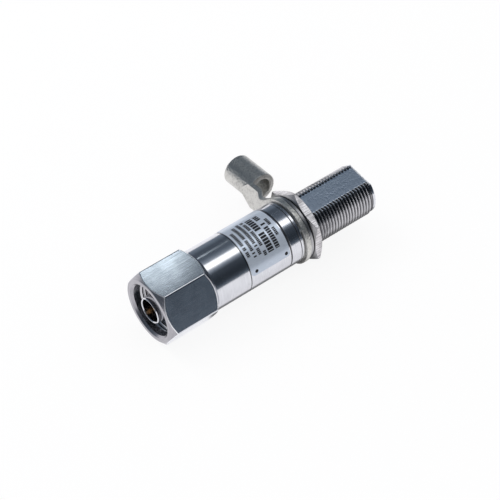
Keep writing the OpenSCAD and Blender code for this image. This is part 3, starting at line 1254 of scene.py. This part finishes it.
@dataclass(frozen=True)
class BarrelFlat:
    """The flat along the jack's barrel.

    Attributes:
        turn: Its direction, in radians.
        height: Its distance from the axis.
        seat: The station behind which it is cut.
        end: The station at which its end starts to slope.
        slope: How far the end falls in a millimetre.
        highlight_end: Length of the painted highlight at the flat's end.
        highlight_drop: How far below the flat the painted highlight reaches on the end's slope.
    """

    turn: float
    height: float
    seat: float
    end: float
    slope: float
    highlight_end: float = 0.3
    highlight_drop: float = 0.5

    # Half the turn that has fine steps, in degrees, and the number of coarse steps over the rest
    FINE = 44
    COARSE_STEPS = 109
    # Least cosine between a section and the flat's direction for the cut to reach it
    FACING = 0.1
    # Faces this close to the flat's height lie on it, and those of the painted highlight face its way by this
    # cosine
    NEAR = 0.02
    HIGHLIGHT_FACING = 0.5

    @classmethod
    def on_shell(cls, survey: Survey) -> BarrelFlat:
        """Finds the flat of the rear shell.

        Args:
            survey: The shell's own sizes.

        Returns:
            The flat.
        """
        turn, height = survey.largest_flat()
        heights = survey.heights(turn)
        end = float(survey.stations[np.abs(heights - height) < survey.NEAR].max())
        drop = height - float(heights[survey.stations > survey.end - survey.NEAR].max())
        seat = survey.stations_at(survey.outer)[1]
        return cls(turn, height, seat, end, drop / (survey.end - end))

    def angles(self) -> np.ndarray:
        """Angles for the barrel's mesh, dense across the flat.

        Returns:
            The angles of a whole turn, in radians.
        """
        fine = np.arange(-self.FINE, self.FINE + 1)
        coarse = np.linspace(self.FINE, 360 - self.FINE, self.COARSE_STEPS + 1)[1:]
        return np.radians(np.concatenate([fine, coarse])) + self.turn

    def cut(self, theta: float, rows: np.ndarray) -> np.ndarray:
        """Cuts the flat into a section.

        Args:
            theta: The section's angle, in radians.
            rows: Its (station, radius) rows.

        Returns:
            The rows with the flat.
        """
        facing = math.cos(theta - self.turn)
        if facing > self.FACING:
            behind = rows[:, 0] > self.seat
            plane = self.height - self.slope * np.maximum(rows[behind, 0] - self.end, 0.0)
            rows[behind, 1] = np.minimum(rows[behind, 1], plane / facing)
        return rows

    def paint(self, barrel: Object, plain: Material, worn: Material) -> None:
        """Gives the flat its finish and paints a highlight on its end.

        Args:
            barrel: The threaded shell.
            plain: The flat's finish.
            worn: The bright finish of its end, which is a painted highlight.
        """
        normal = Vector((0.0, math.cos(self.turn), math.sin(self.turn)))
        mesh = barrel.data
        plain_slot = len(mesh.materials)
        mesh.materials.append(plain)
        mesh.materials.append(worn)
        for face in mesh.polygons:
            below = self.height - face.center.dot(normal) / MM
            station = face.center.x / MM
            # Painted highlight on the flat's end
            if station > self.end - self.highlight_end:
                if -self.NEAR < below < self.highlight_drop and face.normal.dot(normal) > self.HIGHLIGHT_FACING:
                    face.material_index = plain_slot + 1
            elif station > self.seat and abs(below) < self.NEAR:
                face.material_index = plain_slot


@dataclass
class JackEnd(SubAssembly):
    """The collar and the threaded barrel with its flat.

    Attributes:
        thread_radius: Largest radius of the thread.
        thread_height: Height of its teeth.
        run_out: Length over which the thread fades at each end.
        step: Plain length beside each end of the thread.
        end_land: Plain length at the end of the barrel.
        end_drop: How far that land lies below the crests.
        end_ease: Round at the barrel's end.
        mouth_ease: Round at its mouth.
        groove: Depth of the fine groove in the collar.
        edge: Round along the collar's edges.
    """

    thread_radius: float
    thread_height: float = 0.62
    run_out: float = 0.5
    step: float = 0.1
    end_land: float = 1.0
    end_drop: float = 0.3
    end_ease: float = 0.25
    mouth_ease: float = 0.2
    groove: float = 0.15
    edge: float = 0.1

    def outline(self, survey: Survey, flat_end: float) -> Outline:
        """The barrel's section without its flat.

        Args:
            survey: The shell's own sizes.
            flat_end: Station at which the flat's end starts to slope.

        Returns:
            The section.
        """
        inner_nodes = ("housing", "rear_insulator", "rear_seal")
        housing, bead, seal = (Survey(self.nodes[name]) for name in inner_nodes)
        spigot = survey.radii_at(survey.start)[1]
        collar_from, collar_to = survey.stations_at(survey.outer)
        bevel = collar_from - housing.end
        seat = collar_to + bevel
        groove_at = survey.stations_at(survey.outer - self.groove)[0]
        mouth = survey.radii_at(survey.end)[0]
        floor = survey.stations_at(mouth)[0]
        line = survey.radii_at(bead.start)[1]
        crest = self.thread_radius
        valley = crest - self.thread_height
        land = crest - self.end_drop
        thread_to = survey.end - self.end_land
        LOG.info("jack: collar %.2f to %.2f, seat %.2f, mouth %.3f", collar_from, collar_to, seat, mouth)
        return Outline(
            [
                Corner(survey.start, survey.inner, CRISP),
                Corner(survey.start, spigot, BROKEN),
                Corner(seal.start, spigot, SHARP),
                Corner(seal.start, seal.inner, SHARP),
                Corner(seal.end, seal.inner, SHARP),
                Corner(seal.end, spigot, SHARP),
                Corner(housing.end, spigot, SHARP),
                # The bevel at the seam and the collar's groove take painted shade
                Corner(housing.end, survey.outer - bevel, self.edge, Region.SEAM),
                Corner(collar_from, survey.outer, self.edge),
                Corner(groove_at - self.groove, survey.outer, SHARP, Region.SEAM),
                Corner(groove_at, survey.outer - self.groove, SHARP, Region.SEAM),
                Corner(groove_at + self.groove, survey.outer, SHARP),
                Corner(collar_to, survey.outer, self.edge),
                Corner(seat, survey.outer - bevel, self.edge),
                Corner(seat, valley, CRISP, Region.THREAD),
                ThreadRun(seat + self.step, thread_to, valley, crest, seat, run_out=self.run_out),
                Corner(thread_to + self.step, land, CRISP),
                Corner(flat_end, land),
                Corner(survey.end, land, self.end_ease),
                Corner(survey.end, mouth, self.mouth_ease),
                Corner(floor, mouth, CRISP),
                Corner(floor, line, CRISP),
                Corner(bead.start, line, SHARP),
                Corner(bead.start, survey.inner, SHARP),
            ]
        )

    def build(self) -> None:
        """Builds the shell with its thread and dresses what shows in its mouth."""
        survey = Survey(self.nodes["rear_shell"])
        flat = BarrelFlat.on_shell(survey)
        outline = self.outline(survey, flat.end)
        turning = Turning(lambda theta: outline, flat.angles(), flat.cut)
        finishes = {
            Region.TURNED: "turned_nickel",
            Region.THREAD: "cut_thread_nickel",
            Region.SEAM: "seam_painted_shade",
        }
        barrel = turning.build("jack_barrel_threaded", self.finishes(finishes))
        flat.paint(barrel, self.shelf["milled_nickel_reflection_tint"], self.shelf["highlight_edge_nickel"])
        self.seat(barrel, "body", "nickel", "rear_shell")
        self.dress(jack_contact="gold_plate", rear_insulator="white_fluoropolymer")


@dataclass
class EarthHardware(SubAssembly):
    """The lug, the lock washer and the thin nut.

    Attributes:
        anchor: Station of a crest of the barrel's thread at the angle 0.
        thread_height: Height of the nut's own teeth.
        lead: Plain length at each end of the nut's thread, over which the thread fades too.
        chamfer_ease: Round between the nut's chamfers and its flats.
        edge: Round along the edges of the hexagon.
    """

    anchor: float
    thread_height: float = 0.55
    lead: float = 0.3
    chamfer_ease: float = 0.06
    edge: float = 0.14

    def nut_outline_at(self, survey: Survey, section: HexSection) -> OutlineAt:
        """The thin nut's section at each angle.

        Args:
            survey: The nut's own sizes.
            section: Its hexagon.

        Returns:
            A function from an angle, in radians, to the section.
        """
        bore, face = survey.radii_at(survey.start)
        depth = survey.stations_at(section.corner)[0] - survey.start
        thread = ThreadRun(
            survey.start + self.lead,
            survey.end - self.lead,
            bore,
            bore - self.thread_height,
            self.anchor + PITCH / 2,
            backward=True,
            run_out=self.lead,
        )

        def at(theta: float) -> Outline:
            """The section at an angle.

            Args:
                theta: The angle, in radians.

            Returns:
                The section.
            """
            wide = section.radius(theta)
            cut = depth * (wide - face) / (section.corner - face)
            return Outline(
                [
                    Corner(survey.start, bore + self.lead / 2, CRISP),
                    Corner(survey.start, face, CRISP),
                    Corner(survey.start + cut, wide, self.chamfer_ease, Region.MILLED),
                    Corner(survey.end - cut, wide, self.chamfer_ease),
                    Corner(survey.end, face, CRISP),
                    Corner(survey.end, bore + self.lead / 2, CRISP),
                    thread,
                ]
            )

        return at

    def build(self) -> None:
        """Builds the lug and the thin nut, and dresses the washer."""
        survey = Survey(self.nodes["bulkhead_nut"])
        section = HexSection(survey.outer * math.sqrt(3), survey.corner_direction(), self.edge)
        finishes = {
            # The thin nut's faces and chamfers take the darker spun finish, which is painted shade
            Region.TURNED: "shaded_spun_nickel",
            Region.MILLED: "lined_nickel",
            Region.THREAD: "cut_bore_nickel",
        }
        turning = Turning(self.nut_outline_at(survey, section), section.angles())
        nut = turning.build("thin_nut_threaded", self.finishes(finishes))
        self.seat(nut, "nut", "nickel", "bulkhead_nut")
        lug = RoundedSheet().copy(self.nodes["ground_lug"], "earth_lug_formed")
        lug.data.materials.append(self.shelf["tumbled_tin"])
        self.seat(lug, "lug", "tin", "ground_lug")
        self.dress(lock_washer="spring_steel")


@dataclass(frozen=True)
class SoftBox:
    """A rectangular studio lamp.

    Attributes:
        name: The lamp's name.
        place: Where it hangs, in metres.
        size: Its width and height, in metres.
        radiance: How bright its face is.
        colour: Colour of its light.
        on_gloss: True where it lights gloss, and False where it lights matte surfaces.
        aim: What it faces, in metres.
    """

    name: str
    place: tuple[float, float, float]
    size: tuple[float, float]
    radiance: float
    colour: tuple[float, float, float] = (1.0, 1.0, 1.0)
    on_gloss: bool = True
    aim: tuple[float, float, float] = (0.038, 0.0, 0.0)

    def hang(self) -> None:
        """Puts the lamp in the scene."""
        lamp = bpy.data.lights.new(self.name, "AREA")
        lamp.shape = "RECTANGLE"
        lamp.size, lamp.size_y = self.size
        lamp.color = self.colour
        lamp.energy = self.radiance * math.pi * self.size[0] * self.size[1]
        holder = in_scene(self.name, lamp)
        holder.location = self.place
        toward = Vector(self.aim) - Vector(self.place)
        holder.rotation_mode = "QUATERNION"
        holder.rotation_quaternion = toward.to_track_quat("-Z", "Y")
        holder.visible_camera = False
        holder.visible_glossy = self.on_gloss
        holder.visible_diffuse = not self.on_gloss


@dataclass
class Studio:
    """A pale floor, soft lamps, dark flags that only gloss shows, and the camera.

    Attributes:
        nodes: The frame's nodes.
        lamps: The lamps.
        ambient: Light from all around on matte surfaces.
        floor_colour: Colour of the floor as gloss and matte surfaces see it.
        floor_glow: Light added to it where gloss shows it.
        glow_colour: Colour of that light.
        painted_shadow_line: (station, half length) of a line under the part, around which that light is out:
            a painted shadow that the part's gloss shows.
        painted_shadow_edge: (distance, distance) from the line between which the light comes up again at the
            painted shadow's edge.
        floor_seen: The floor's colour as the camera sees it.
        floor_lift: Light added to it where the camera sees it, so that it reads as white.
        floor_size: Half the floor's width, in metres.
        flag_tint: Tint of the flags where they are dark.
        flag_radius: Distance of the flags, in metres.
        flag_foot: Height of the flags' lower edge, in metres.
        flag_top: Elevation of the flags' upper edge.
        flag_steps: Steps around the flags.
        flag_near: (elevation, brightness) of the flags towards -Y.
        flag_far: The same towards +Y.
        flag_sides: Shares of the radius along Y between which the near flags give way to the far ones.
        eye: The camera's place, in metres.
        azimuth: The camera's direction around Z.
        elevation: The camera's height above the horizon.
        focal: Focal length in pixels of the picture.
        picture: Width of the picture in pixels.
        sensor: Width of the camera's sensor.
        sight: Nearest and furthest distance that the camera sees, in metres.
    """

    nodes: Nodes
    lamps: Sequence[SoftBox] = (
        SoftBox("key", (0.43, -0.10, 0.60), (0.24, 0.42), 1.25),
        SoftBox("rear", (0.203, 0.3087, 0.394), (0.047, 0.033), 2.3, (0.90, 1.0, 1.06)),
        SoftBox("window", (-0.15, 0.45, 0.60), (0.30, 0.30), 3.0, on_gloss=False),
    )
    ambient: float = 0.72
    floor_colour: Colour = rgb(0.55, 0.55, 0.555)
    floor_glow: float = 0.74
    glow_colour: Colour = rgb(0.98, 0.97, 1.0)
    painted_shadow_line: tuple[float, float] = (51.0, 24.0)
    painted_shadow_edge: tuple[float, float] = (8.6, 11.0)
    floor_seen: Colour = rgb(0.14, 0.14, 0.143)
    floor_lift: float = 0.88
    floor_size: float = 6.0
    flag_tint: Colour = rgb(0.78, 1.0, 1.30)
    flag_radius: float = 0.7
    flag_foot: float = -0.02
    flag_top: float = 76.0
    flag_steps: int = 72
    flag_near: Sequence[tuple[float, float]] = (
        (0, 0.17), (5, 0.12), (11, 0.06), (18, 0.04), (28, 0.04),
        (38, 0.055), (48, 0.065), (57, 0.34), (62, 1.0),
    )
    flag_far: Sequence[tuple[float, float]] = (
        (0, 0.3), (5, 0.25), (16, 0.2), (27, 0.10), (47, 0.11),
        (57, 0.14), (64, 0.31), (68, 0.38), (75, 1.0),
    )
    flag_sides: tuple[float, float] = (-0.5, 0.5)
    eye: tuple[float, float, float] = (-0.18026, -0.27087, 0.37887)
    azimuth: float = -38.573
    elevation: float = 47.496
    focal: float = 1807.9
    picture: int = 500
    sensor: float = 36.0
    sight: tuple[float, float] = (0.01, 100.0)

    def floor_material(self) -> Material:
        """The floor's finish, which the camera sees in one way and the part in another, with a painted shadow
        under the part where gloss sees it.

        Returns:
            The material, which is clear from below.
        """
        graph, material = Graph.of_material("pale_floor")
        place = Place(graph)
        # Painted shadow: the glow that gloss sees is out in a strip under the part
        station, half_length = self.painted_shadow_line
        distance = abs(place.y).either(abs(place.x - station) - half_length)
        glow_with_painted_shadow = graph.blend(distance.eased(*self.painted_shadow_edge), BLACK, self.glow_colour)
        sights = []
        for colour, light, strength in (
            (self.floor_colour, glow_with_painted_shadow, graph.rays("Glossy") * self.floor_glow),
            (self.floor_seen, WHITE, self.floor_lift),
        ):
            matte = graph.node("ShaderNodeBsdfDiffuse", None, {"Color": colour})
            glow = graph.node("ShaderNodeEmission", None, {"Color": light, "Strength": strength})
            sights.append(graph.node("ShaderNodeAddShader", None, {0: matte.outputs[0], 1: glow.outputs[0]}))
        lit = graph.choice(graph.rays("Camera"), *sights)
        below = graph.node("ShaderNodeNewGeometry").outputs["Backfacing"]
        sides = graph.choice(below, lit, graph.node("ShaderNodeBsdfTransparent"))
        graph.node("ShaderNodeOutputMaterial", None, {"Surface": sides.outputs[0]})
        return material

    def lay_floor(self) -> None:
        """Lays the floor under the two edges that the part rests on."""
        front = Survey(self.nodes["coupling_nut"]).lowest()
        rear = Survey(self.nodes["bulkhead_nut"]).lowest()
        slope = (rear.z - front.z) / (rear.x - front.x)
        reach = self.floor_size
        square = ((-reach, -reach), (reach, -reach), (reach, reach), (-reach, reach))
        points = [(front.x + x, y, front.z + slope * x) for x, y in square]
        floor = in_scene("floor", new_mesh("floor", points, [(0, 1, 2, 3)], [self.floor_material()]))

    def flag_stops(self, levels: Sequence[tuple[float, float]]) -> list[tuple[float, Colour]]:
        """A ramp of the flags' colours.

        Args:
            levels: (elevation, brightness) pairs; the brighter, the less of the tint.

        Returns:
            (share of a right angle, colour) pairs.
        """
        stops = []
        for elevation, level in levels:
            tinted = (level * (tint + (1 - tint) * level) for tint in self.flag_tint[:3])
            stops.append((elevation / 90, rgb(*tinted)))
        return stops

    def flag_material(self) -> Material:
        """The flags' finish, which glows by height and by side.

        Returns:
            The material.
        """
        graph, material = Graph.of_material("dark_flag")
        place = Place(graph)
        reach = self.flag_radius / MM
        height = graph.math("ARCTAN2", place.z, reach) / (math.pi / 2)
        near, far = (
            graph.node("ShaderNodeValToRGB", {"stops": self.flag_stops(levels)}, {0: height}).outputs[0]
            for levels in (self.flag_near, self.flag_far)
        )
        side = (place.y / reach).eased(*self.flag_sides)
        graph.surface(
            {
                "Base Color": BLACK,
                "Specular IOR Level": 0.0,
                "Emission Color": graph.blend(side, near, far),
                "Emission Strength": 1.0,
            }
        )
        return material

    def raise_flags(self) -> None:
        """Raises the dark flags around the part."""
        top = math.tan(math.radians(self.flag_top)) * self.flag_radius
        count = 2 * self.flag_steps
        points = []
        for turn in np.arange(self.flag_steps) * math.tau / self.flag_steps:
            x, y = math.cos(turn) * self.flag_radius, math.sin(turn) * self.flag_radius
            points += [(x, y, self.flag_foot), (x, y, top)]
        faces = [(foot, (foot + 2) % count, (foot + 3) % count, foot + 1) for foot in range(0, count, 2)]
        flags = in_scene("flags", new_mesh("flags", points, faces, [self.flag_material()]))
        flags.visible_camera = False
        flags.visible_diffuse = False
        flags.visible_shadow = False

    def light(self) -> None:
        """Hangs the lamps and sets the world, which shows white and lights less."""
        for lamp in self.lamps:
            lamp.hang()
        world = bpy.data.worlds.new("studio")
        world.use_nodes = True
        bpy.context.scene.world = world
        graph = Graph(world.node_tree)
        strength = graph.rays("Camera", "Glossy", "Transmission") * (1 - self.ambient) + self.ambient
        white = graph.node("ShaderNodeBackground", None, {"Color": WHITE, "Strength": strength})
        graph.node("ShaderNodeOutputWorld", None, {"Surface": white.outputs[0]})

    def set_camera(self) -> None:
        """Sets the camera at the photograph's view."""
        camera = bpy.data.cameras.new("camera")
        camera.sensor_width = self.sensor
        camera.lens = self.focal / self.picture * self.sensor
        camera.clip_start, camera.clip_end = self.sight
        holder = in_scene("camera", camera)
        holder.location = self.eye
        holder.rotation_euler = (math.radians(90 - self.elevation), 0.0, math.radians(self.azimuth))
        bpy.context.scene.camera = holder

    def build(self) -> None:
        """Builds the whole studio."""
        self.lay_floor()
        self.raise_flags()
        self.light()
        self.set_camera()
        bpy.context.scene.view_settings.view_transform = "Standard"
        LOG.info("studio: floor, flags, %d lamps and camera", len(self.lamps))


def main() -> None:
    """Builds the arrestor's looks around its frame."""
    logging.basicConfig(level=logging.INFO, format="%(name)s: %(message)s")
    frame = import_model()
    nodes = frame["nodes"]
    mounts = {mount["name"]: mount for mount in frame["record"]["mounts"]}
    crest = mounts["jack_thread"]["dims"]["r_mm"]
    shelf = stocked_shelf((crest - JackEnd.thread_height, crest), Survey(nodes["housing"]).start)
    PlugEnd(nodes, shelf).build()
    Body(nodes, shelf).build()
    JackEnd(nodes, shelf, crest).build()
    EarthHardware(nodes, shelf, Survey(nodes["ground_lug"]).start).build()
    Studio(nodes).build()


if __name__ == "__main__":
    main()
